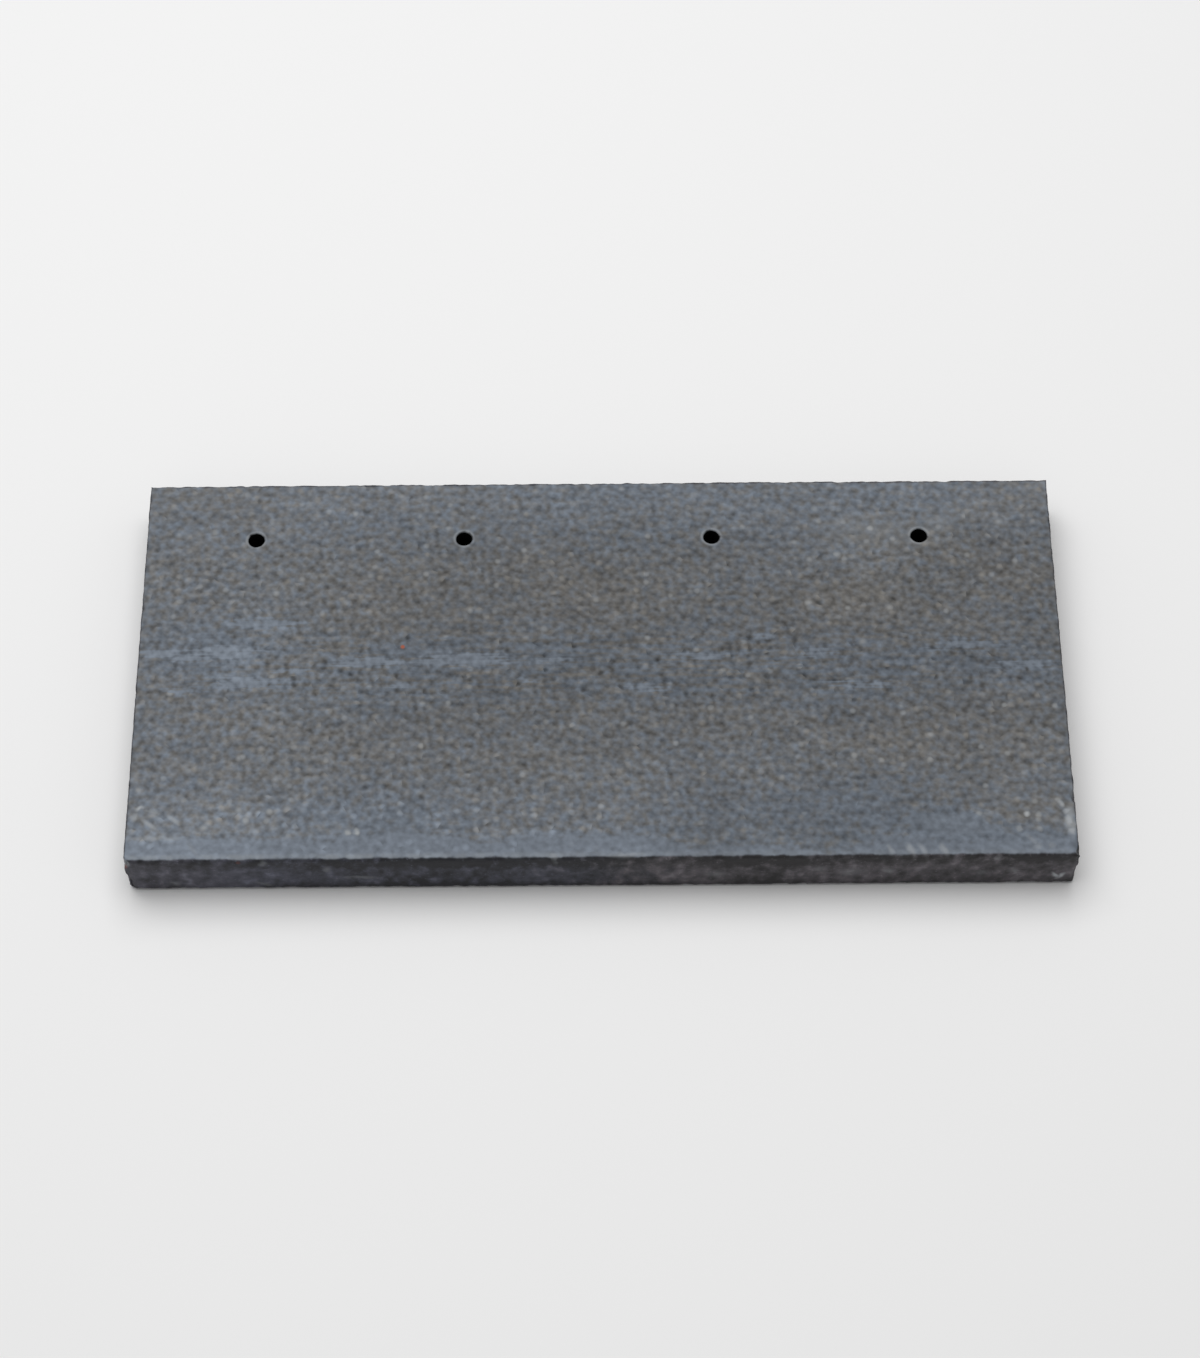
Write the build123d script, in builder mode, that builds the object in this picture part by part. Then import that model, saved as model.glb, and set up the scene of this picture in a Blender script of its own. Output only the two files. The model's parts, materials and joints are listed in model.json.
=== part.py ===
from build123d import *
import os

# A flat clinker roof tile: one slab cut from a ribbon of extruded clay, punched for nails and fired hard.
# X runs along the width, Y from the exposed tail up to the head, Z up from the bed face. Millimetres.

# Slab
tile_width = 240.0
tile_length = 115.0
tile_thickness = 15.0

# Edges of the ribbon, rounded by the die
tail_nose_radius = 1.2
tail_foot_radius = 1.0
head_edge_radius = 1.0

# Edges of the two wire-cut ends, eased while the clay was soft
cut_edge_radius = 0.6

# Nail holes, punched down through the slab in one row along the head
nail_hole_diameter = 4.0
nail_hole_setback = 18.0
inner_nail_pitch = 65.5
outer_nail_pitch = 175.5
nail_row_shift = -3.0
nail_rim_radius = 0.4

with BuildPart() as clinker_tile:
    # Section of the clay ribbon, tail at the left
    with BuildSketch(Plane.YZ) as ribbon:
        Rectangle(tile_length, tile_thickness, align=(Align.CENTER, Align.MIN))
        tail_corners = ribbon.vertices().group_by(Axis.X)[0].sort_by(Axis.Y)
        head_corners = ribbon.vertices().group_by(Axis.X)[-1]
        fillet(tail_corners[-1], radius=tail_nose_radius)
        fillet(tail_corners[0], radius=tail_foot_radius)
        fillet(head_corners, radius=head_edge_radius)
    extrude(amount=tile_width / 2, both=True)

    # Wire-cut ends
    cut_ends = clinker_tile.faces().filter_by(Axis.X)
    fillet(cut_ends.edges(), radius=cut_edge_radius)

    # Two pairs of nail holes about the middle of the row
    with Locations((nail_row_shift, tile_length / 2 - nail_hole_setback, tile_thickness)):
        for nail_pitch in (inner_nail_pitch, outer_nail_pitch):
            with GridLocations(nail_pitch, 0, 2, 1):
                Hole(radius=nail_hole_diameter / 2)

    # Rims drawn in by the punch on the weather face
    nail_rims = clinker_tile.edges().filter_by(GeomType.CIRCLE).group_by(Axis.Z)[-1]
    fillet(nail_rims, radius=nail_rim_radius)

clinker_tile.part.label = "clinker_tile"

os.makedirs("parts", exist_ok=True)
export_step(clinker_tile.part, "parts/clinker_tile.step")
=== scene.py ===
import json
import math
from types import SimpleNamespace

import bpy
from bpy.props import FloatProperty, FloatVectorProperty, IntProperty, PointerProperty
from bpy.types import Operator, Panel, PropertyGroup
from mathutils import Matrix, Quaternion, Vector


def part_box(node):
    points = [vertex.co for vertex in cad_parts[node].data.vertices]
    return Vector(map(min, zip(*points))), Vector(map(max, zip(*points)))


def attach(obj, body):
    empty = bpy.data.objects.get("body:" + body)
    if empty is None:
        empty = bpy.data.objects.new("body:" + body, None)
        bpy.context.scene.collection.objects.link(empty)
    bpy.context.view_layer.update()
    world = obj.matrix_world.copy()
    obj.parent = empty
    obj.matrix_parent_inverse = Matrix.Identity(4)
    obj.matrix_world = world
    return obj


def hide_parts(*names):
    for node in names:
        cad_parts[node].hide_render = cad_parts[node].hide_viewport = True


bl_info = {
    "name": "Clinker Roof Tile",
    "version": (1, 0, 0),
    "blender": (4, 5, 0),
    "location": "View3D > Sidebar > Clinker",
    "description": "Models a flat clinker roof tile, its sandy blue-grey face and the studio it lies in",
    "category": "Object",
}

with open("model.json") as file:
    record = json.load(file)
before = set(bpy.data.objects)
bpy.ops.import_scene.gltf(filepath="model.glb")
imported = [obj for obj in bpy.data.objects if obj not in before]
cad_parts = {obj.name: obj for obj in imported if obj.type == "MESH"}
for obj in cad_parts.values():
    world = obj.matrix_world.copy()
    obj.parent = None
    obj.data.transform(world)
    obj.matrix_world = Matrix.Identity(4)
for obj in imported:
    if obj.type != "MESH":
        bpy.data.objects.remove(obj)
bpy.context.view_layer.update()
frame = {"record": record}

# The tile as the frame gives it, in metres: X along the width, Y from tail to head, Z up
TILE_NODE = "clinker_tile"
TILE_LOW, TILE_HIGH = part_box(TILE_NODE)
TILE_WIDTH, TILE_LENGTH, TILE_THICKNESS = TILE_HIGH - TILE_LOW
NAIL_HOLES = [mount for mount in frame["record"]["mounts"] if mount["kind"] == "bore"]
MM = 0.001

# Half sizes in millimetres, the unit of the clay's patterns
HALF_WIDTH = TILE_WIDTH / 2 / MM
HALF_LENGTH = TILE_LENGTH / 2 / MM
THICKNESS = TILE_THICKNESS / MM

# The smooth band along the tail, in millimetres
TAIL_BAND_WIDTH = 7.2

# How deep the pale marks reach from the weather face and from the tail end face, in millimetres
SCUFF_DEPTH = 4.0
TAIL_MARK_DEPTH = 2.0

# The grains lie askew by this angle, so that they show no rows along the edges
GRAIN_TURN = math.radians(35)

# Soft ovals and pale marks fade out this many half widths from their middle
OVAL_FADE = 1.35
MARK_FADE = 1.2

# Shaded clay keeps at least this share of its colour
DARKEST_SHARE = 0.25

# Faces that meet at less than this angle are shaded as one
SMOOTH_ANGLE = math.radians(50)

# A punch flares by this angle, and ends this many rim roundings outside its shank and above the weather face
FLARE_TURN = math.radians(80)
FLARE_REACH = 1.2
FLARE_RISE = 0.3

# The studio, in metres: the floor lies just under the tile, and the lamp hangs over its head, to the left
FLOOR_SIZE = 8.0
FLOOR_DROP = 0.1 * MM
LAMP_PLACE = (-0.15, 0.35, 1.3)

# The belt where the die drew the skin into streaks, in millimetres: x, y, half width and strength
BELT_STRETCH = 11.0
DRAWN_BELT = ((-5, -0.5, 150, 1.0),)

# Soft oval patches of the weather face, in millimetres from its middle: x, y, half width and strength.
# A positive strength keeps more of the blue skin, a negative one shows more of the brown sand.
PATCH_STRETCH = 2.6
SKIN_PATCHES = (
    (-99, 5, 24, 0.30),
    (-46, 2, 18, 0.34),
    (-12, 3, 16, 0.24),
    (62, -1, 24, 0.16),
    (98, -1, 28, 0.25),
    (-60, -7, 24, 0.10),
    (12, -8, 18, 0.14),
    (-51, 19, 26, -0.18),
    (4, 22, 28, -0.22),
    (68, 18, 28, -0.28),
    (108, 24, 18, -0.22),
    (88, 33, 20, -0.16),
    (108, 48, 18, -0.16),
    (-98, 19, 20, -0.10),
    (27, 6, 12, 0.14),
    (-106, -37, 14, 0.16),
    (88, -25, 34, -0.18),
    (-10, -22, 48, -0.07),
    (-86, -27, 24, -0.06),
    (110, -44, 15, -0.22),
    (66, -43, 26, 0.22),
    (-48, -46, 20, 0.12),
    (20, 48, 40, 0.08),
    (88, -48.5, 12, 0.90),
    (81, -49.5, 6, -0.30),
    (106, -53, 12, 0.30),
)

# Soft clouds over the weather face, in millimetres: x, y, half width and strength, paler where positive
FACE_CLOUDS = (
    (68, 33, 16, 0.20),
    (-68, 49, 14, 0.16),
    (87, 47, 12, 0.08),
    (48, 27, 14, 0.08),
    (62, 18, 20, 0.07),
    (-88, 9, 10, 0.11),
    (-92, 1.5, 16, 0.11),
    (87, -51, 12, -0.10),
    (40, -35, 26, 0.09),
    (-96, -22, 22, 0.07),
    (-90, -47.5, 18, 0.12),
    (-80, -56, 20, -0.10),
    (29, -51.5, 11, -0.14),
    (50, -56, 12, 0.16),
)

# Islands of smooth blue skin, drawn out by the die, in millimetres: x, y, half width and strength
ISLAND_STRETCH = 5.0
SKIN_ISLANDS = (
    (-115, 4.1, 9, 1.0),
    (-106, 2.6, 9, 0.9),
    (-97, 4.3, 14, 1.0),
    (-88, 13.4, 14, 0.85),
    (-80, -1.5, 8, 0.8),
    (-90, -5.2, 14, 0.9),
    (-108, -7.2, 9, 0.75),
    (-59, 1.3, 14, 0.9),
    (-36, 1.5, 16, 1.0),
    (-52, -5.8, 7, 0.7),
    (-20, -5.0, 7, 0.6),
    (-12, 1.0, 9, 0.7),
    (11, -7.6, 10, 0.75),
    (27, 2.2, 14, 0.6),
    (43, 8.0, 8, 0.6),
    (57, 2.8, 13, 0.6),
    (68, -6.6, 13, 0.75),
    (95, 5.0, 16, 0.75),
    (110, -1.2, 12, 0.8),
)

# Pale grains that stand out of the weather face, in millimetres: x, y, radius and strength
PALE_GRAINS = (
    (107.3, -45.3, 0.75, 0.95),
    (110.4, -45.6, 0.85, 0.42),
    (105.1, -49.8, 1.00, 0.36),
    (110.4, -49.6, 0.90, 0.36),
    (95.2, -45.2, 0.90, 0.40),
    (71.9, 41.7, 1.00, 0.55),
    (62.7, 33.6, 1.00, 0.50),
    (55.5, 32.0, 0.95, 0.38),
    (54.8, 18.4, 1.00, 0.46),
    (75.8, 16.8, 1.00, 0.36),
    (106.1, 43.7, 1.00, 0.42),
    (57.5, 48.1, 0.95, 0.34),
    (25.7, 22.6, 0.90, 0.36),
    (68.3, 6.3, 1.10, 0.34),
    (77.3, -13.4, 0.80, 0.38),
    (28.4, -13.6, 0.80, 0.34),
    (46.0, -34.2, 0.80, 0.38),
    (-14.5, 11.1, 0.95, 0.34),
    (-33.8, 16.8, 0.75, 0.34),
    (-47.5, 46.9, 0.80, 0.34),
    (-64.7, 47.7, 0.85, 0.52),
    (-60.1, 28.0, 0.90, 0.34),
    (-84.8, 22.8, 0.90, 0.48),
    (-110.0, 20.4, 0.85, 0.36),
    (-111.3, 41.3, 0.90, 0.34),
    (-101.7, 42.1, 0.95, 0.34),
    (-92.1, -27.4, 0.80, 0.40),
    (-82.6, -33.8, 0.80, 0.40),
    (-69.9, -28.2, 0.85, 0.40),
    (-89.7, -45.7, 1.00, 0.62),
    (-83.7, -43.0, 0.90, 0.52),
    (-91.4, -42.7, 0.85, 0.38),
    (-84.2, -45.7, 0.85, 0.38),
    (-100.0, -47.6, 0.95, 0.48),
    (-61.6, -49.2, 0.95, 1.00),
    (-63.9, -49.4, 1.10, 0.75),
)

# Pale scuffs on the weather face and one painted highlight on the tail arris, in millimetres and degrees: x,
# y, half length, half width, turn, strength
SCUFFS = (
    (118.3, -47.2, 5.4, 1.5, 90, 0.58),
    (117.9, -47.4, 2.4, 1.5, 84, 1.00),
    (118.4, -50.2, 1.6, 1.2, 90, 0.85),
    (117.8, -44.8, 1.5, 0.9, 60, 0.80),
    (116.1, -42.4, 1.7, 0.8, 122, 0.75),
    (108.0, -52.7, 2.9, 0.9, 130, 0.24),
    (109.2, -54.6, 1.6, 1.3, 0, 0.28),
    (112.8, -54.4, 1.2, 1.2, 0, 0.22),
    (-117.9, -44.4, 1.1, 1.7, 0, 0.55),
    (-116.6, -41.9, 1.5, 1.0, 10, 1.00),
    (-113.0, -43.0, 2.6, 0.7, 170, 0.34),
    (-113.8, -46.7, 2.8, 0.8, 143, 0.62),
    (-107.5, -45.6, 2.6, 0.8, 142, 0.66),
    (-112.0, -50.6, 8.5, 0.9, 0, 0.36),
    (-102.7, -53.6, 3.3, 0.8, 123, 0.16),
    (72.5, -55.4, 2.1, 0.9, 116, 0.34),
    (77.6, -55.3, 2.4, 1.1, 116, 0.48),
    (80.6, -55.4, 2.1, 0.9, 114, 0.38),
    (86.0, -55.5, 2.2, 1.1, 114, 0.44),
    (72.0, 41.0, 22.0, 6.0, 172, 0.15),
    (90.0, 43.5, 12.0, 4.0, 20, 0.14),
    # Painted highlight along the tail arris
    (6.0, -56.4, 5.5, 0.8, 0, 0.34),
    (-11.5, -56.8, 1.2, 0.9, 0, 0.40),
)

# Pale marks on the tail end face, in millimetres and degrees: x, z, half length, half height, turn, strength
TAIL_MARKS = (
    (114.4, 4.2, 2.2, 0.9, 62, 1.00),
    (116.1, 4.3, 2.2, 0.9, -61, 1.00),
    (103.8, 7.0, 2.0, 1.6, 40, 0.22),
    (96.0, 6.2, 1.6, 1.6, 0, 0.18),
    (72.4, 7.4, 2.2, 1.6, 30, 0.24),
    (63.0, 7.2, 4.0, 2.4, 0, 0.16),
    (54.7, 8.6, 1.8, 2.2, 70, 0.16),
    (28.6, 6.2, 3.4, 2.0, 0, 0.14),
    (99.3, 13.6, 1.1, 1.0, 0, 0.26),
    (-61.0, 5.8, 5.6, 1.1, 4, 0.22),
    (-85.4, 2.8, 2.8, 1.0, 25, 0.22),
    (-68.8, 10.2, 1.2, 1.8, 0, 0.24),
    (-85.0, 13.4, 1.2, 1.4, 0, 0.26),
    (-108.0, 3.4, 2.0, 1.6, 0, 0.22),
)

# Iron grains and rusty breaks, in millimetres: x, y, z, radius and strength
RUST_GRAINS = (
    (-51.2, 5.7, 15.0, 0.65, 0.85),
    (-119.8, -57.4, 12.2, 1.00, 0.45),
    (-91.0, -57.4, 13.9, 0.70, 0.14),
)

# Soft clouds along the tail end face, in millimetres: x, half width and strength, paler where positive
TAIL_CLOUDS = (
    (-100, 38, 0.48),
    (-28, 48, -0.25),
    (21, 11, 0.32),
    (42, 14, -0.40),
    (60, 12, 0.35),
    (100, 28, 0.12),
)

# Broken spots on the arrises, in millimetres: x, y, z, radius, half height and how pale the break is
CHIPS = (
    (-119.8, -57.3, 13.4, 1.7, 1.9, 0.7),
    (-120.4, -57.9, 2.0, 2.6, 8.5, 0.0),
    (120.4, -57.7, 4.0, 1.7, 6.5, 0.0),
    (119.9, -40.5, 15.0, 1.6, 1.4, 0.5),
    (119.8, -56.2, 14.9, 1.2, 1.2, 0.3),
)


def cell_count(label, words, count, fewest):
    """A number of mesh cells a user can change."""
    return IntProperty(name=label, description=words, default=count, min=fewest)


def small_length(label, words, millimetres):
    """A length a user can change, given in millimetres."""
    return FloatProperty(name=label, description=words, default=millimetres * MM, unit="LENGTH")


def clay_colour(label, words, colour):
    """A colour a user can change, in scene linear values."""
    return FloatVectorProperty(
        name=label, description=words, default=colour, subtype="COLOR", size=3, min=0.0, max=1.0)


class ClinkerTileSizes(PropertyGroup):
    """Sizes of the tile's edges and of the relief on its faces"""

    cells_across: cell_count("Cells Across", "Mesh cells along the width of the weather face", 368, 8)
    cells_along: cell_count("Cells Along", "Mesh cells from tail to head of the weather face", 176, 8)
    bed_coarseness: cell_count("Bed Coarseness", "Weather face cells to one cell of the bed face", 4, 1)
    edge_cells: cell_count("Edge Cells", "Mesh cells down the upright edges", 13, 2)
    round_cells: cell_count("Rounding Cells", "Mesh cells around each arris and nail hole rim", 3, 1)
    hole_sides: cell_count("Nail Hole Sides", "Sides of each nail hole", 48, 8)
    die_round: small_length("Die Rounding", "Rounding of the tail and head arrises", 1.0)
    cut_round: small_length("Cut Rounding", "Rounding of the wire-cut arrises", 0.6)
    rim_round: small_length("Rim Rounding", "Rounding of the nail hole rims", 0.5)
    sand_depth: small_length("Sand Depth", "Depth of the sandy grain", 0.30)
    drag_depth: small_length("Drag Depth", "Depth of the drag lines along the width", 0.10)
    warp_depth: small_length("Warp Depth", "Slow unevenness of the faces", 0.25)
    wear_depth: small_length("Wear Depth", "Wear along the arrises", 0.35)
    chip_depth: small_length("Chip Depth", "Depth of the broken spots", 0.8)


class ClinkerTileColours(PropertyGroup):
    """Colours of the fired clay"""

    tail_skin: clay_colour("Tail Skin", "Smooth skin of the tail, fired pale blue", (0.113, 0.133, 0.163))
    blue_skin: clay_colour("Blue Skin", "Thin skin over the face, fired blue", (0.1106, 0.1292, 0.156))
    brown_sand: clay_colour("Brown Sand", "Scraped sandy face, fired brown", (0.1318, 0.1275, 0.1216))
    blue_edge: clay_colour("Blue Edge", "Upright edges, fired to blue charcoal", (0.0437, 0.0455, 0.0622))
    brown_edge: clay_colour("Brown Edge", "Upright edges, fired to brown charcoal", (0.06, 0.0545, 0.0615))
    # Painted shade for the nail holes, near black
    hole_shade: clay_colour("Hole Shade", "Painted shade in the nail holes", (0.004, 0.004, 0.004))
    broken_clay: clay_colour("Broken Clay", "Pale clay in chips and scuffs", (0.34, 0.36, 0.38))
    pale_grain: clay_colour("Pale Grain", "Quartz grains in the face", (0.37, 0.385, 0.395))
    sand_grain: clay_colour("Sand Grain", "Sand grains in the face, fired tan", (0.30, 0.28, 0.25))
    rust_grain: clay_colour("Rust Grain", "Iron grains in the face", (0.36, 0.085, 0.035))


class ClinkerStageSettings(PropertyGroup):
    """The studio: floor, light and camera"""

    floor_colour: clay_colour("Floor", "Pale studio floor", (0.86, 0.86, 0.86))
    sky_strength: FloatProperty(
        name="Sky Strength", description="Even light from all around", default=0.34, min=0.0)
    lamp_power: FloatProperty(
        name="Lamp Power", description="Power of the soft light overhead",
        default=16.5, min=0.0, unit="POWER")
    lamp_size: FloatProperty(
        name="Lamp Size", description="Width of the soft light overhead", default=1.4, unit="LENGTH")
    camera_elevation: FloatProperty(
        name="Camera Elevation", description="How steeply the camera looks down",
        default=math.radians(58.3), subtype="ANGLE")
    camera_distance: FloatProperty(
        name="Camera Distance", description="From the camera to the middle of the tile",
        default=0.90, unit="LENGTH")
    camera_roll: FloatProperty(
        name="Camera Roll", description="Tilt of the picture, positive when its right side rises",
        default=math.radians(0.43), subtype="ANGLE")
    camera_lens: FloatProperty(
        name="Camera Lens", description="Focal length in millimetres on a 36 mm long side",
        default=91.5, min=1.0)


class NodeBench:
    """Adds and joins nodes in one tree, so the same steps serve the clay's relief and its colour."""

    def __init__(self, tree):
        self.tree = tree

    def add(self, kind, **settings):
        node = self.tree.nodes.new(kind)
        for name, value in settings.items():
            setattr(node, name, value)
        return node

    def feed(self, socket, source):
        """Joins a socket to an output, or sets it to a plain value."""
        if isinstance(source, bpy.types.NodeSocket):
            self.tree.links.new(source, socket)
        else:
            socket.default_value = source

    def maths(self, operation, *operands):
        node = self.add("ShaderNodeMath", operation=operation)
        for socket, operand in zip(node.inputs, operands):
            self.feed(socket, operand)
        return node.outputs[0]

    def chain(self, operation, first, *others):
        """One operation over a row of operands."""
        for other in others:
            first = self.maths(operation, first, other)
        return first

    def total(self, *operands):
        return self.chain("ADD", *operands)

    def product(self, *operands):
        return self.chain("MULTIPLY", *operands)

    def least(self, *operands):
        return self.chain("MINIMUM", *operands)

    def most(self, *operands):
        return self.chain("MAXIMUM", *operands)

    def minus(self, first, second):
        return self.maths("SUBTRACT", first, second)

    def less(self, value):
        """What is left of one."""
        return self.minus(1.0, value)

    def swing(self, noise, reach):
        """A noise about its middle, times a reach."""
        return self.product(self.minus(noise, 0.5), reach)

    def rise(self, value, low, high, peak=1.0):
        """A smooth step from 0 at low to its peak at high, which may lie either way round."""
        node = self.add("ShaderNodeMapRange", interpolation_type="SMOOTHSTEP")
        for socket, operand in zip(node.inputs, (value, low, high, 0.0, peak)):
            self.feed(socket, operand)
        return node.outputs[0]

    def scaled(self, vector, share):
        node = self.add("ShaderNodeVectorMath", operation="SCALE")
        self.feed(node.inputs["Vector"], vector)
        self.feed(node.inputs["Scale"], share)
        return node.outputs["Vector"]

    def parts(self, vector):
        node = self.add("ShaderNodeSeparateXYZ")
        self.feed(node.inputs[0], vector)
        return node.outputs[0], node.outputs[1], node.outputs[2]

    def stretched(self, vector, shares, shift):
        """A place scaled along each axis and then moved."""
        node = self.add("ShaderNodeVectorMath", operation="MULTIPLY_ADD")
        self.feed(node.inputs[0], vector)
        node.inputs[1].default_value = shares
        node.inputs[2].default_value = shift
        return node.outputs[0]

    def length(self, vector):
        node = self.add("ShaderNodeVectorMath", operation="LENGTH")
        self.feed(node.inputs[0], vector)
        return node.outputs["Value"]

    def distance(self, vector, point):
        node = self.add("ShaderNodeVectorMath", operation="DISTANCE")
        self.feed(node.inputs[0], vector)
        node.inputs[1].default_value = point
        return node.outputs["Value"]

    def turned(self, vector):
        """A place turned about the upright axis."""
        node = self.add("ShaderNodeVectorRotate", rotation_type="Z_AXIS")
        self.feed(node.inputs["Vector"], vector)
        node.inputs["Angle"].default_value = GRAIN_TURN
        return node.outputs[0]

    def grained(self, vector, lengths, seed):
        """The place measured in grain lengths from the weather face, moved on by a seed of its own."""
        shift = (seed, seed * 1.7, round(seed * 2.3) - THICKNESS / lengths[2])
        return self.stretched(vector, [1.0 / length for length in lengths], shift)

    def noise(self, vector, lengths, seed, detail=2.0, roughness=0.5):
        node = self.add("ShaderNodeTexNoise", noise_dimensions="3D")
        self.feed(node.inputs["Vector"], self.grained(vector, lengths, seed))
        node.inputs["Scale"].default_value = 1.0
        node.inputs["Detail"].default_value = detail
        node.inputs["Roughness"].default_value = roughness
        return node.outputs[0]

    def cells(self, vector, size, seed):
        """Cells scattered over the faces: the distance from a cell's point, and the cell's random number."""
        node = self.add("ShaderNodeTexVoronoi", voronoi_dimensions="2D", feature="F1")
        self.feed(node.inputs["Vector"], self.grained(vector, (size, size, size), seed))
        node.inputs["Scale"].default_value = 1.0
        luck = self.parts(node.outputs["Color"])[0]
        return node.outputs["Distance"], luck

    def ovals(self, vector, stretch, places):
        """Soft ovals stretched along the width, seen from above: a step from 0 to the strength of each."""
        flat = self.stretched(vector, (1.0 / stretch, 1.0, 0.0), (0.0, 0.0, 0.0))
        for x, y, half_width, strength in places:
            reach = half_width / stretch
            yield self.rise(self.distance(flat, (x / stretch, y, 0.0)), OVAL_FADE * reach, 0.0, strength)

    def blend(self, share, first, second):
        """A colour between two others."""
        node = self.add("ShaderNodeMix", data_type="RGBA")
        self.feed(node.inputs[0], share)
        for socket, colour in ((node.inputs[6], first), (node.inputs[7], second)):
            self.feed(socket, colour if isinstance(colour, bpy.types.NodeSocket) else (*colour, 1.0))
        return node.outputs[2]


def near_arris(bench, from_side, from_end, z):
    """How far a place is from the nearest arris: the middle one of its distances from side, end and face."""
    from_middle = bench.maths("ABSOLUTE", bench.minus(z, THICKNESS / 2))
    from_face = bench.minus(THICKNESS / 2, from_middle)
    nearer = bench.least(from_side, from_end)
    farther = bench.most(from_side, from_end)
    return bench.most(nearer, bench.least(farther, from_face))


def broken_spots(bench, here, rubbed):
    """The chips, and the pale breaks in them."""
    ragged = bench.swing(rubbed, 1.0)
    chip, fresh = 0.0, 0.0
    for x, y, z, radius, half_height, paleness in CHIPS:
        shares = (1.0 / radius, 1.0 / radius, 1.0 / half_height)
        shift = (-x / radius, -y / radius, -z / half_height)
        reach = bench.length(bench.stretched(here, shares, shift))
        broken = bench.rise(bench.total(reach, ragged), 1.0, 0.5)
        chip = bench.most(chip, broken)
        fresh = bench.most(fresh, bench.product(broken, paleness))
    return chip, fresh


def off_nail_rims(bench, here):
    """How far a place is from the rim of the nearest nail hole, less than nothing inside it."""
    level = bench.stretched(here, (1, 1, 0), (0, 0, 0))
    gaps = []
    for hole in NAIL_HOLES:
        hole_x, hole_y, _ = hole["pos_m"]
        off_axis = bench.distance(level, (hole_x / MM, hole_y / MM, 0))
        gaps.append(bench.minus(off_axis, hole["dims"]["r_mm"]))
    return bench.least(*gaps)


def clay_fields(bench, place):
    """The clay's patterns at a place in metres: shares from 0 to 1, noises, and lengths in millimetres."""
    here = bench.scaled(place, 1.0 / MM)
    askew = bench.turned(here)
    x, y, z = bench.parts(here)
    from_side = bench.minus(HALF_WIDTH, bench.maths("ABSOLUTE", x))
    from_end = bench.minus(HALF_LENGTH, bench.maths("ABSOLUTE", y))
    wander = bench.noise(here, (40.0, 12.0, 12.0), seed=3.0, detail=2.0)
    streaks = bench.noise(here, (15.0, 1.1, 1.1), seed=11.0, detail=2.0)
    grain = bench.noise(askew, (1.75, 1.75, 1.75), seed=23.0, detail=1.0, roughness=0.35)
    drag = bench.noise(here, (11.0, 1.7, 1.7), seed=31.0, detail=1.0, roughness=0.4)
    rubbed = bench.noise(askew, (3.2, 3.2, 3.2), seed=53.0, detail=2.0, roughness=0.55)
    drawn, = bench.ovals(here, BELT_STRETCH, DRAWN_BELT)

    # The weather face and the bed end raggedly where the arrises begin to round, later at the cut sides.
    # In the middle of the tile each of the two shares holds on both faces.
    inside = bench.total(bench.least(bench.total(from_side, 0.4), from_end), bench.swing(rubbed, 1.6))
    weather = bench.rise(bench.minus(bench.minus(THICKNESS, z), inside), -0.1, -1.0)
    bed = bench.rise(bench.minus(z, inside), -0.1, -1.0)

    # How much of the blue skin lies over the sand
    skin = bench.total(
        0.48,
        bench.rise(y, 34.0, 52.0, 0.08),
        bench.rise(y, -26.0, -54.0, 0.14),
        bench.swing(wander, 0.55),
        bench.product(bench.swing(streaks, 1.0), bench.total(0.4, bench.product(drawn, 1.6))),
        *bench.ovals(here, PATCH_STRETCH, SKIN_PATCHES))

    # Islands of whole skin with frayed edges, which fade out below the weather face
    near_isle = bench.most(0.0, *bench.ovals(here, ISLAND_STRETCH, SKIN_ISLANDS))
    frayed = bench.total(near_isle, bench.swing(streaks, 1.4), bench.swing(grain, 0.8))
    isle = bench.product(
        bench.rise(frayed, 0.25, 0.80), bench.rise(near_isle, 0.0, 0.4), bench.rise(z, 6.0, 12.0))
    skin = bench.total(skin, bench.product(isle, 0.5))

    # Single grains, some standing proud and pale, some lost and leaving a pore
    from_grain, luck = bench.cells(here, 2.4, seed=5.0)
    spot = bench.product(bench.rise(from_grain, 0.54, 0.06), weather)
    pitted = bench.total(0.4, bench.product(drawn, 0.6))
    pore = bench.product(spot, bench.rise(luck, 0.50, 0.15), pitted)
    proud = bench.product(spot, bench.rise(luck, 0.55, 1.0))

    # The smooth band along the tail, narrow right of the middle
    band_wander = bench.noise(here, (22.0, 40.0, 40.0), seed=41.0, detail=2.0)
    band_edge = bench.total(
        TAIL_BAND_WIDTH - HALF_LENGTH,
        bench.rise(x, 6.0, 24.0, -4.2),
        bench.rise(x, 58.0, 76.0, 3.0),
        bench.swing(band_wander, 9.0),
        bench.swing(streaks, 3.0),
        bench.swing(grain, 3.0))
    tail_band = bench.rise(bench.minus(y, band_edge), 1.6, -1.6)
    smooth = bench.most(
        bench.product(bench.rise(skin, 0.65, 1.2), 0.8), tail_band, bench.product(isle, 0.85))

    # Wear and chips along the arrises
    arris = near_arris(bench, from_side, from_end, z)
    wear = bench.product(bench.rise(arris, 1.6, 0.0), bench.rise(rubbed, 0.35, 0.75))
    chip, fresh = broken_spots(bench, here, rubbed)

    return SimpleNamespace(
        here=here, askew=askew, x=x, y=y, z=z, weather=weather, bed=bed, grain=grain, drag=drag,
        pore=pore, proud=proud, skin=skin, isle=isle, smooth=smooth, tail_band=tail_band,
        rubbed=rubbed, wear=wear, chip=chip, fresh=fresh, off_rim=off_nail_rims(bench, here))


def deselect_all():
    """Goes to object mode with nothing selected."""
    if bpy.context.object and bpy.context.object.mode != "OBJECT":
        bpy.ops.object.mode_set(mode="OBJECT")
    bpy.ops.object.select_all(action="DESELECT")


def edit_faces(piece, chosen):
    """Goes to edit mode with only the faces selected that a test picks."""
    bpy.ops.object.mode_set(mode="EDIT")
    bpy.ops.mesh.select_mode(type="FACE")
    bpy.ops.mesh.select_all(action="DESELECT")
    bpy.ops.object.mode_set(mode="OBJECT")
    for face in piece.data.polygons:
        face.select = chosen(face)
    bpy.ops.object.mode_set(mode="EDIT")


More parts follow.
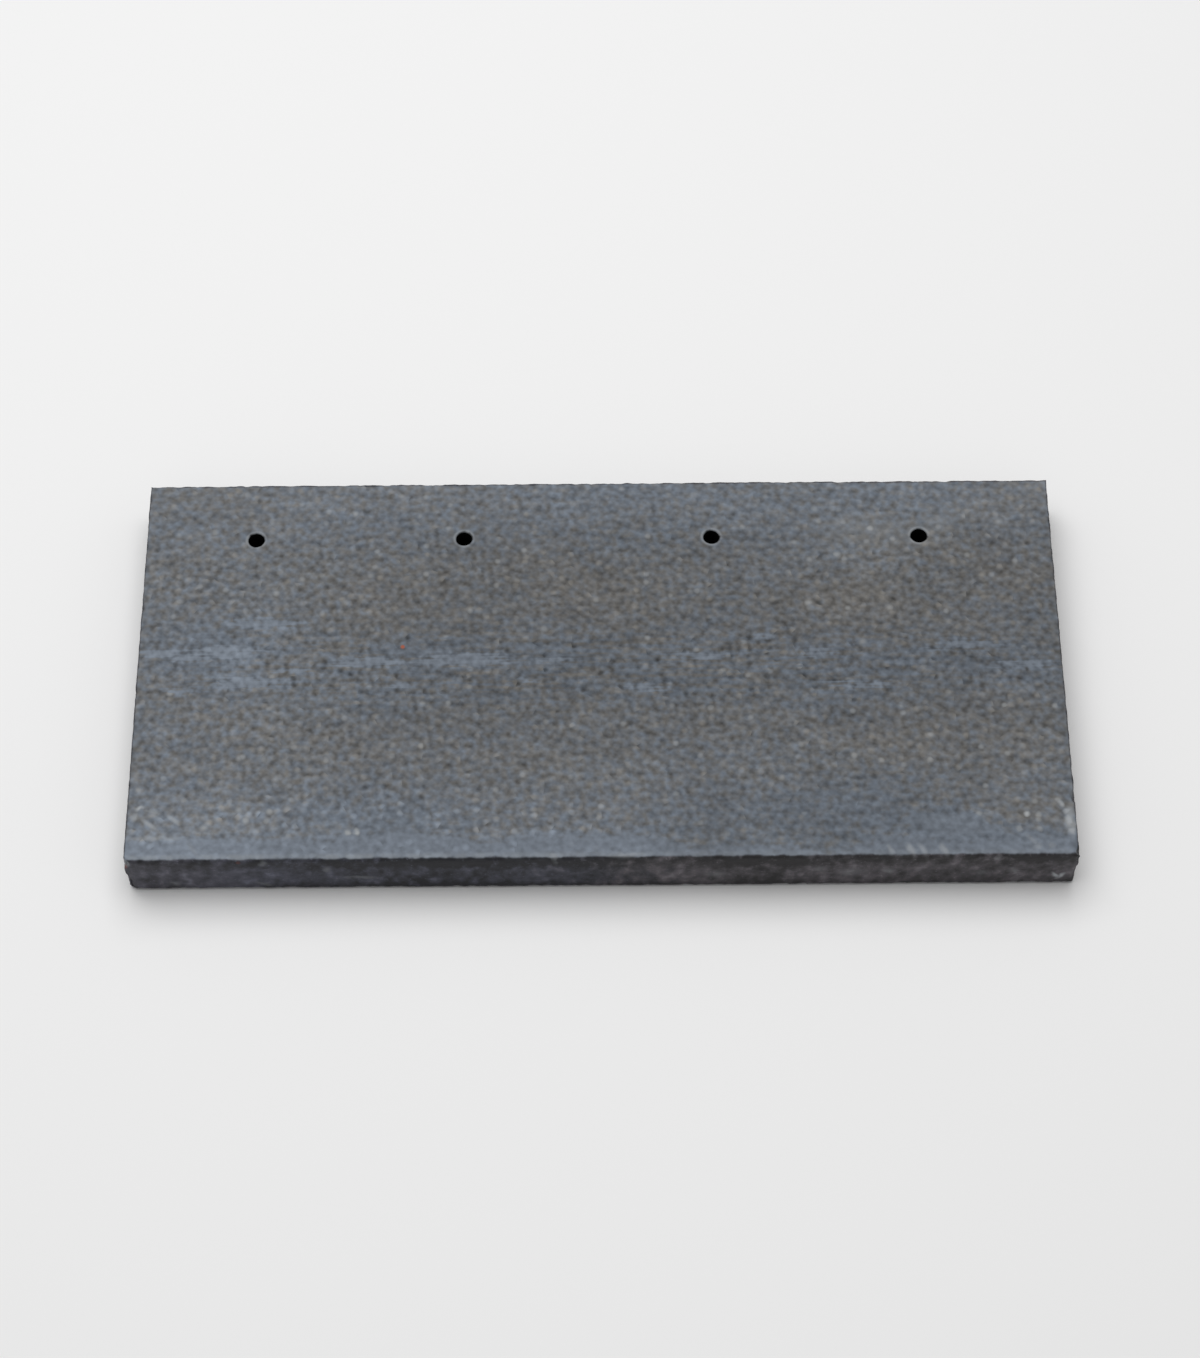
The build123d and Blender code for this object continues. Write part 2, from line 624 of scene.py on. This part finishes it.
def arris_loops(sizes):
    """Half width, half length and height of each loop of the slab, from the weather face to the bed."""
    half_width, half_length = TILE_WIDTH / 2, TILE_LENGTH / 2
    upper = []
    for step in range(sizes.round_cells + 1):
        turn = math.pi / 2 * step / sizes.round_cells
        inset = 1.0 - math.sin(turn)
        drop = 1.0 - math.cos(turn)
        upper.append((
            half_width - sizes.cut_round * inset,
            half_length - sizes.die_round * inset,
            TILE_THICKNESS - sizes.die_round * drop))
    straight = TILE_THICKNESS - 2 * sizes.die_round
    middle = [
        (half_width, half_length, sizes.die_round + straight * (1 - step / sizes.edge_cells))
        for step in range(1, sizes.edge_cells)]
    lower = [(wide, long, TILE_THICKNESS - high) for wide, long, high in reversed(upper)]
    return upper + middle + lower


def model_slab(sizes):
    """The slab: a grid for the weather face, its border drawn out and down in loops, and a coarser bed."""
    loops = arris_loops(sizes)
    wide, long, high = loops[0]
    deselect_all()
    bpy.ops.mesh.primitive_grid_add(
        x_subdivisions=sizes.cells_across, y_subdivisions=sizes.cells_along, size=1.0,
        location=(0, 0, high))
    slab = bpy.context.object
    slab.name = "fired_tile"
    slab.data.name = "fired_tile"
    slab.scale = (2 * wide, 2 * long, 1.0)
    bpy.ops.object.transform_apply(location=True, rotation=False, scale=True)

    bpy.ops.object.mode_set(mode="EDIT")
    bpy.ops.mesh.select_mode(type="EDGE")
    bpy.ops.mesh.select_all(action="SELECT")
    bpy.ops.mesh.region_to_loop()
    for next_wide, next_long, next_high in loops[1:]:
        bpy.ops.mesh.extrude_edges_move(TRANSFORM_OT_translate={"value": (0, 0, next_high - high)})
        bpy.ops.transform.resize(
            value=(next_wide / wide, next_long / long, 1.0), center_override=(0, 0, next_high))
        wide, long, high = next_wide, next_long, next_high

    # The bed face is a coarser grid. It is bridged to the last loop from below, then raised into place.
    across = sizes.cells_across // sizes.bed_coarseness
    along = sizes.cells_along // sizes.bed_coarseness
    below = high - TILE_THICKNESS
    bpy.ops.mesh.select_all(action="DESELECT")
    bpy.ops.mesh.primitive_grid_add(
        x_subdivisions=across, y_subdivisions=along, size=1.0, location=(0, 0, below))
    bpy.ops.transform.resize(
        value=(2 * wide * (1 - 1 / across), 2 * long * (1 - 1 / along), 1.0), center_override=(0, 0, below))
    bpy.ops.mesh.select_all(action="DESELECT")
    bpy.ops.mesh.select_non_manifold(
        extend=False, use_wire=False, use_boundary=True, use_multi_face=False, use_non_contiguous=False,
        use_verts=False)
    bpy.ops.mesh.bridge_edge_loops()
    bpy.ops.mesh.select_all(action="SELECT")
    bpy.ops.mesh.normals_make_consistent(inside=False)
    edit_faces(slab, lambda face: face.center.z < below + MM)
    bpy.ops.transform.translate(value=(0, 0, high - below))
    bpy.ops.object.mode_set(mode="OBJECT")
    return slab


def model_punch(sizes, radius):
    """A round punch whose shoulder flares where it draws in the rim of a nail hole."""
    overrun = 2 * MM
    shank = TILE_THICKNESS - sizes.rim_round + overrun
    deselect_all()
    bpy.ops.mesh.primitive_cylinder_add(
        vertices=sizes.hole_sides, radius=radius, depth=shank, location=(0, 0, shank / 2 - overrun))
    punch = bpy.context.object
    bpy.ops.object.transform_apply(location=True, rotation=False, scale=False)
    edit_faces(punch, lambda face: face.normal.z > 0.9)
    wide, high = radius, shank - overrun
    flare = []
    for step in range(1, sizes.round_cells + 1):
        turn = FLARE_TURN * step / sizes.round_cells
        flare.append((
            radius + sizes.rim_round * (1 - math.cos(turn)),
            shank - overrun + sizes.rim_round * math.sin(turn)))
    flare.append((radius + FLARE_REACH * sizes.rim_round, TILE_THICKNESS + FLARE_RISE * sizes.rim_round))
    for next_wide, next_high in flare:
        bpy.ops.mesh.extrude_region_move(TRANSFORM_OT_translate={"value": (0, 0, next_high - high)})
        bpy.ops.transform.resize(
            value=(next_wide / wide, next_wide / wide, 1), center_override=(0, 0, next_high))
        wide, high = next_wide, next_high
    bpy.ops.object.mode_set(mode="OBJECT")
    return punch


def punch_nail_holes(slab, sizes):
    """Cuts the nail holes with round punches, where the frame's mounts put them."""
    punches = []
    for hole in NAIL_HOLES:
        hole_x, hole_y, _ = hole["pos_m"]
        punch = model_punch(sizes, hole["dims"]["r_mm"] * MM)
        punch.location = (hole_x, hole_y, 0)
        punches.append(punch)
    deselect_all()
    for punch in punches:
        punch.select_set(True)
    bpy.context.view_layer.objects.active = punches[0]
    bpy.ops.object.join()
    punch = bpy.context.object
    bpy.ops.object.transform_apply(location=True, rotation=True, scale=True)

    deselect_all()
    slab.select_set(True)
    bpy.context.view_layer.objects.active = slab
    cut = slab.modifiers.new("nail holes", "BOOLEAN")
    cut.operation = "DIFFERENCE"
    cut.solver = "MANIFOLD"
    cut.object = punch
    bpy.ops.object.modifier_apply(modifier=cut.name)
    bpy.data.objects.remove(punch)


def clay_relief_tree(sizes):
    """Geometry nodes that press the grain, drag lines, wear and chips into the slab."""
    tree = bpy.data.node_groups.new("clay relief", "GeometryNodeTree")
    tree.interface.new_socket("Geometry", in_out="INPUT", socket_type="NodeSocketGeometry")
    tree.interface.new_socket("Geometry", in_out="OUTPUT", socket_type="NodeSocketGeometry")
    bench = NodeBench(tree)
    start, end = bench.add("NodeGroupInput"), bench.add("NodeGroupOutput")
    place = bench.add("GeometryNodeInputPosition").outputs[0]
    outward = bench.add("GeometryNodeInputNormal").outputs[0]
    fields = clay_fields(bench, place)

    # The bed is too coarse for the grain, and the rims of the nail holes stay round
    fine = bench.product(bench.rise(fields.z, 0.3, 1.0), bench.rise(fields.off_rim, 0.6, 1.6))
    rough = bench.product(bench.total(bench.product(bench.less(fields.smooth), 0.8), 0.2), fine)
    warp = bench.noise(fields.here, (70.0, 42.0, 42.0), seed=61.0, detail=1.0)
    inward = bench.total(
        bench.product(bench.total(bench.swing(fields.grain, -1.0), fields.pore), rough, sizes.sand_depth),
        bench.product(fields.proud, rough, -0.5 * sizes.sand_depth),
        bench.product(bench.swing(fields.drag, -1.0), rough, sizes.drag_depth),
        bench.product(warp, sizes.warp_depth),
        bench.product(fields.wear, sizes.wear_depth),
        bench.product(fields.chip, sizes.chip_depth))

    shift = bench.scaled(outward, bench.product(inward, -1.0))
    press = bench.add("GeometryNodeSetPosition")
    bench.feed(press.inputs["Geometry"], start.outputs[0])
    bench.feed(press.inputs["Offset"], shift)
    bench.feed(end.inputs[0], press.outputs[0])
    return tree


def press_relief(slab, sizes):
    """Presses the relief into the slab and shades it smooth."""
    relief = slab.modifiers.new("clay relief", "NODES")
    relief.node_group = clay_relief_tree(sizes)
    bpy.ops.object.modifier_apply(modifier=relief.name)
    bpy.ops.object.shade_smooth_by_angle(angle=SMOOTH_ANGLE)


def pale_marks(bench, fields):
    """The scuffs of the weather face and the marks of the tail end face, as one share from 0 to 1."""
    lays = []
    for x, y, reach, breadth, turn, strength in SCUFFS:
        size = (reach, breadth, SCUFF_DEPTH)
        lays.append(((x, y, THICKNESS), size, (0.0, 0.0, math.radians(turn)), strength))
    for x, z, reach, height, turn, strength in TAIL_MARKS:
        size = (reach, TAIL_MARK_DEPTH, height)
        lays.append(((x, -HALF_LENGTH, z), size, (0.0, math.radians(turn), 0.0), strength))

    fray_way = (1.0, -0.8, 0.9)
    frayed = bench.add("ShaderNodeVectorMath", operation="ADD")
    bench.feed(frayed.inputs[0], fields.here)
    bench.feed(frayed.inputs[1], bench.scaled(fray_way, bench.swing(fields.rubbed, 2.4)))
    marked = 0.0
    for place, size, turn, strength in lays:
        lay = bench.add("ShaderNodeMapping", vector_type="TEXTURE")
        bench.feed(lay.inputs["Vector"], frayed.outputs[0])
        lay.inputs["Location"].default_value = place
        lay.inputs["Rotation"].default_value = turn
        lay.inputs["Scale"].default_value = size
        marked = bench.most(marked, bench.rise(bench.length(lay.outputs[0]), MARK_FADE, 0.1, strength))
    return marked


def pale_grains(bench, fields):
    """Quartz grains of the weather face, scattered ones and single ones, as one share from 0 to 1."""
    from_quartz, luck = bench.cells(fields.here, 6.5, seed=7.0)
    quartz = bench.product(
        bench.rise(from_quartz, 0.17, 0.03),
        bench.rise(luck, 0.5, 1.0, 0.36),
        bench.rise(fields.skin, 0.85, 0.50))
    uneven = bench.swing(fields.grain, 1.6)
    for x, y, radius, strength in PALE_GRAINS:
        reach = bench.total(bench.distance(fields.here, (x, y, THICKNESS)), uneven)
        quartz = bench.most(quartz, bench.rise(reach, 1.4 * radius, 0.1 * radius, strength))
    return bench.product(quartz, fields.weather, bench.less(bench.product(fields.tail_band, 0.7)))


def face_colour(bench, fields, blue, colours):
    """The weather face and the bed: brown sand under blue skin, which the tail keeps whole."""
    face = bench.blend(blue, colours.brown_sand, colours.blue_skin)
    face = bench.blend(fields.tail_band, face, colours.tail_skin)

    # Paler towards the head and the tail, and at the left, and uneven in between
    uneven = bench.noise(fields.here, (15.0, 9.0, 9.0), seed=89.0, detail=2.0)
    lean = bench.total(
        bench.rise(fields.x, -54.0, -108.0, 0.22),
        bench.rise(fields.x, 8.0, 28.0, -0.18),
        bench.rise(fields.x, 56.0, 112.0, 0.14))
    midway = bench.product(bench.rise(fields.y, -28.0, -16.0), bench.rise(fields.y, 50.0, 38.0))
    leftward = bench.total(-0.06, bench.rise(fields.x, -32.0, -92.0, 0.19))
    paler = bench.total(
        0.975,
        bench.rise(fields.y, 28.0, 62.0, 0.24),
        bench.rise(fields.y, -10.0, -62.0, 0.22),
        bench.product(lean, bench.rise(fields.y, -18.0, -46.0)),
        bench.product(leftward, midway),
        bench.rise(fields.skin, 0.95, 1.40, 0.10),
        bench.product(fields.isle, 0.25),
        bench.swing(uneven, 0.35),
        *bench.ovals(fields.here, PATCH_STRETCH, FACE_CLOUDS))
    return bench.scaled(face, paler)


def edge_colour(bench, fields, specks, colours):
    """The upright edges: blue or brown charcoal in soft clouds, with painted shade under the arris and at
    the foot.
    """
    cloud = bench.noise(fields.here, (24.0, 24.0, 16.0), seed=79.0, detail=2.0)
    ash = bench.noise(fields.askew, (3.0, 3.0, 3.6), seed=83.0, detail=3.0, roughness=0.5)
    blown = bench.total(fields.x, bench.swing(cloud, 40.0), bench.swing(ash, 60.0))
    browner = bench.total(bench.rise(blown, -10.0, 22.0), bench.rise(fields.x, -82.0, -112.0, 0.35))
    edge = bench.blend(browner, colours.blue_edge, colours.brown_edge)
    # Painted shade: darker under the weather arris and at the foot, mixed with the clouds and ash of the
    # charcoal
    mottle_and_painted_shade = bench.total(
        bench.rise(fields.z, 8.0, 14.0, -0.84),
        bench.rise(fields.z, 4.0, 0.8, -0.60),
        bench.swing(cloud, 1.6),
        bench.swing(ash, 3.2),
        bench.rise(ash, 0.56, 0.75, 0.45),
        bench.rise(specks, 0.60, 0.80, 0.90))
    tailward = bench.total(0.4, bench.rise(fields.y, 12.0 - HALF_LENGTH, 1.0 - HALF_LENGTH, 0.6))
    clouds = [(x, -HALF_LENGTH, half_width, strength) for x, half_width, strength in TAIL_CLOUDS]
    edge_tone_and_painted_shade = bench.total(
        1.03, bench.product(mottle_and_painted_shade, tailward), *bench.ovals(fields.here, PATCH_STRETCH, clouds))
    return bench.scaled(edge, bench.most(edge_tone_and_painted_shade, DARKEST_SHARE))


def grain_light(bench, fields, specks):
    """Light and dark of the grain, with painted shade in the pores, softer on the skin, as a share of the
    clay's colour.
    """
    pebbly = bench.product(bench.rise(fields.y, -37.0, -45.0), bench.rise(fields.x, 15.0, -15.0, 0.45))
    light = bench.total(
        bench.swing(fields.grain, 1.5),
        bench.product(fields.proud, bench.total(0.22, pebbly)),
        # Painted shade in the pores left by lost grains
        bench.product(fields.pore, -0.38),
        bench.swing(specks, 0.14),
        bench.swing(fields.drag, 0.5))
    muted = bench.most(fields.smooth, bench.less(fields.weather))
    depth = bench.total(
        1.0,
        bench.product(muted, -0.32),
        bench.product(fields.isle, -0.12),
        bench.rise(fields.y, -22.0, -50.0, -0.12),
        bench.rise(fields.y, 26.0, 48.0, -0.14))
    return bench.most(bench.total(1.0, bench.product(light, depth)), DARKEST_SHARE)


def worn_colour(bench, fields, clay, colours):
    """The clay with a painted highlight along the tail arris, worn arrises, scuffs, breaks and single
    grains, and the rims of the nail holes with painted shade in them.
    """
    # Painted highlight along the tail arris, in the pale colour of worn clay
    arris_highlight_and_wear = bench.product(
        bench.rise(fields.y, 2.6 - HALF_LENGTH, 1.3 - HALF_LENGTH),
        fields.weather,
        bench.rise(fields.rubbed, 0.2, 0.7),
        bench.total(0.12, bench.rise(fields.x, 60.0, -70.0, 0.20)))
    worn = bench.product(fields.wear, 0.10)
    for share in (arris_highlight_and_wear, worn, pale_marks(bench, fields), fields.fresh):
        clay = bench.blend(share, clay, colours.broken_clay)
    clay = bench.blend(pale_grains(bench, fields), clay, colours.pale_grain)
    for x, y, z, radius, strength in RUST_GRAINS:
        rusty = bench.rise(bench.distance(fields.here, (x, y, z)), 1.2 * radius, 0.4 * radius, strength)
        clay = bench.blend(rusty, clay, colours.rust_grain)
    rim = bench.product(
        bench.rise(fields.off_rim, 1.2, 0.45), bench.rise(fields.rubbed, 0.25, 0.6, 0.42), fields.weather)
    clay = bench.blend(rim, clay, colours.broken_clay)
    # Painted shade over the rims and walls of the nail holes
    painted_hole_shade = bench.rise(bench.total(fields.off_rim, bench.swing(fields.rubbed, 1.5)), 0.48, -0.05)
    return bench.blend(painted_hole_shade, clay, colours.hole_shade)


def fired_clay(colours):
    """The fired clay: blue skin over brown sand, charcoal edges, quartz and iron grains."""
    material = bpy.data.materials.new("fired clinker")
    material.use_nodes = True
    tree = material.node_tree
    tree.nodes.clear()
    bench = NodeBench(tree)
    fields = clay_fields(bench, bench.add("ShaderNodeTexCoord").outputs["Object"])
    specks = bench.noise(fields.here, (0.8, 0.7, 0.7), seed=97.0, detail=1.0)

    # Single grains keep or lose the blue skin
    tint = bench.noise(fields.askew, (2.2, 2.2, 2.2), seed=71.0, detail=1.0, roughness=0.4)
    kept = bench.total(fields.skin, bench.swing(tint, 1.1), bench.swing(fields.grain, 0.5))
    blue = bench.rise(kept, 0.0, 0.95)

    # Colour: the faces, the upright edges, the grain, what is worn, the painted highlight on the tail arris
    # and the painted shade in the nail holes
    face = face_colour(bench, fields, blue, colours)
    edge = edge_colour(bench, fields, specks, colours)
    clay = bench.blend(bench.most(fields.weather, fields.bed), edge, face)
    clay = bench.scaled(clay, grain_light(bench, fields, specks))
    sandy = bench.product(fields.proud, bench.less(blue), bench.less(fields.tail_band))
    clay = bench.blend(bench.product(sandy, 0.30), clay, colours.sand_grain)
    clay = worn_colour(bench, fields, clay, colours)

    # Finish: dull clay, less dull where it is smooth, with the finest grain as bump
    surface = bench.add("ShaderNodeBsdfPrincipled")
    surface.inputs["Specular IOR Level"].default_value = 0.35
    bench.feed(surface.inputs["Base Color"], clay)
    bench.feed(surface.inputs["Roughness"], bench.total(0.88, bench.product(fields.smooth, -0.26)))
    bump = bench.add("ShaderNodeBump")
    bump.inputs["Strength"].default_value = 0.4
    bump.inputs["Distance"].default_value = 0.12 * MM
    bench.feed(bump.inputs["Height"], bench.total(specks, fields.grain))
    bench.feed(surface.inputs["Normal"], bump.outputs[0])
    out = bench.add("ShaderNodeOutputMaterial")
    bench.feed(out.inputs["Surface"], surface.outputs[0])
    return material


def hole_shade_finish(colours):
    """Painted shade in the nail holes, near black and dull, with a little clay showing through."""
    material = bpy.data.materials.new("nail hole painted shade")
    material.use_nodes = True
    bench = NodeBench(material.node_tree)
    surface = material.node_tree.nodes["Principled BSDF"]
    here = bench.scaled(bench.add("ShaderNodeTexCoord").outputs["Object"], 1.0 / MM)
    flecks = bench.noise(here, (0.9, 0.9, 0.9), seed=17.0, detail=1.0)
    shown = bench.rise(flecks, 0.6, 0.8, 0.05)
    bench.feed(surface.inputs["Base Color"], bench.blend(shown, colours.hole_shade, colours.brown_edge))
    surface.inputs["Specular IOR Level"].default_value = 0.0
    surface.inputs["Roughness"].default_value = 1.0
    return material


def line_nail_holes(slab, sizes):
    """Gives the walls of the nail holes their painted shade, the second finish of the slab."""
    wall_top = TILE_THICKNESS - 1.5 * sizes.rim_round

    def in_hole(face):
        if face.center.z > wall_top or abs(face.normal.z) > 0.5:
            return False
        for hole in NAIL_HOLES:
            off_axis = (face.center.xy - Vector(hole["pos_m"]).xy).length
            if off_axis < hole["dims"]["r_mm"] * MM + sizes.rim_round:
                return True
        return False

    edit_faces(slab, in_hole)
    slab.active_material_index = 1
    bpy.ops.object.material_slot_assign()
    bpy.ops.object.mode_set(mode="OBJECT")


class CLINKER_OT_fired_tile(Operator):
    """Model the fired clinker tile over its place in the frame"""

    bl_idname = "clinker.fired_tile"
    bl_label = "Fired Tile"

    def execute(self, context):
        sizes = context.scene.clinker_tile_sizes
        slab = model_slab(sizes)
        punch_nail_holes(slab, sizes)
        press_relief(slab, sizes)
        slab.data.materials.clear()
        colours = context.scene.clinker_tile_colours
        slab.data.materials.append(fired_clay(colours))
        slab.data.materials.append(hole_shade_finish(colours))
        line_nail_holes(slab, sizes)
        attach(slab, "root")
        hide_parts(TILE_NODE)
        return {"FINISHED"}


def lay_floor(colour):
    """The pale floor under the tile."""
    deselect_all()
    bpy.ops.mesh.primitive_plane_add(size=FLOOR_SIZE, location=(0, 0, -FLOOR_DROP))
    floor = bpy.context.object
    floor.name = "studio_floor"
    bpy.ops.object.transform_apply(location=True, rotation=False, scale=True)
    material = bpy.data.materials.new("pale studio floor")
    material.use_nodes = True
    surface = material.node_tree.nodes["Principled BSDF"]
    surface.inputs["Base Color"].default_value = (*colour, 1.0)
    surface.inputs["Roughness"].default_value = 0.9
    surface.inputs["Specular IOR Level"].default_value = 0.1
    floor.data.materials.append(material)


def hang_lights(settings):
    """Even light from all around and one soft lamp overhead, aimed at the tile."""
    sky = bpy.data.worlds.new("studio sky")
    sky.use_nodes = True
    sky.node_tree.nodes["Background"].inputs["Color"].default_value = (1.0, 1.0, 1.0, 1.0)
    sky.node_tree.nodes["Background"].inputs["Strength"].default_value = settings.sky_strength
    bpy.context.scene.world = sky
    deselect_all()
    bpy.ops.object.light_add(type="AREA", location=LAMP_PLACE)
    lamp = bpy.context.object
    lamp.name = "soft_light"
    lamp.data.shape = "SQUARE"
    lamp.data.size = settings.lamp_size
    lamp.data.energy = settings.lamp_power
    lamp.rotation_euler = (-lamp.location).to_track_quat("-Z", "Y").to_euler()


def set_camera(settings):
    """The camera in front of the tail, looking down on the middle of the tile."""
    deselect_all()
    aim = (TILE_LOW + TILE_HIGH) / 2
    lift = settings.camera_elevation
    back = Vector((0.0, -math.cos(lift), math.sin(lift)))
    bpy.ops.object.camera_add(location=aim + back * settings.camera_distance)
    camera = bpy.context.object
    camera.name = "tile_camera"
    level = (-back).to_track_quat("-Z", "Y")
    camera.rotation_euler = (level @ Quaternion((0, 0, 1), -settings.camera_roll)).to_euler()
    camera.data.lens = settings.camera_lens
    camera.data.sensor_width = 36.0
    camera.data.clip_start = 0.01
    bpy.context.scene.camera = camera


class CLINKER_OT_studio(Operator):
    """Lay the pale floor, hang the soft light and set the camera"""

    bl_idname = "clinker.studio"
    bl_label = "Studio"

    def execute(self, context):
        settings = context.scene.clinker_stage
        lay_floor(settings.floor_colour)
        hang_lights(settings)
        set_camera(settings)
        context.scene.view_settings.view_transform = "Standard"
        return {"FINISHED"}


class CLINKER_PT_sidebar(Panel):
    """Lists the tile and the studio, with the settings of each"""

    bl_idname = "CLINKER_PT_sidebar"
    bl_label = "Clinker Roof Tile"
    bl_space_type = "VIEW_3D"
    bl_region_type = "UI"
    bl_category = "Clinker"

    def draw(self, context):
        scene = context.scene
        for operator, groups in (
                (CLINKER_OT_fired_tile, (scene.clinker_tile_sizes, scene.clinker_tile_colours)),
                (CLINKER_OT_studio, (scene.clinker_stage,))):
            box = self.layout.box()
            box.operator(operator.bl_idname)
            for group in groups:
                for name in group.__annotations__:
                    box.prop(group, name)


CLASSES = (
    ClinkerTileSizes, ClinkerTileColours, ClinkerStageSettings, CLINKER_OT_fired_tile, CLINKER_OT_studio,
    CLINKER_PT_sidebar)


def register():
    for cls in CLASSES:
        bpy.utils.register_class(cls)
    bpy.types.Scene.clinker_tile_sizes = PointerProperty(type=ClinkerTileSizes)
    bpy.types.Scene.clinker_tile_colours = PointerProperty(type=ClinkerTileColours)
    bpy.types.Scene.clinker_stage = PointerProperty(type=ClinkerStageSettings)


def unregister():
    del bpy.types.Scene.clinker_stage
    del bpy.types.Scene.clinker_tile_colours
    del bpy.types.Scene.clinker_tile_sizes
    for cls in reversed(CLASSES):
        bpy.utils.unregister_class(cls)


def main():
    register()
    bpy.ops.clinker.fired_tile()
    bpy.ops.clinker.studio()


if __name__ == "__main__":
    main()
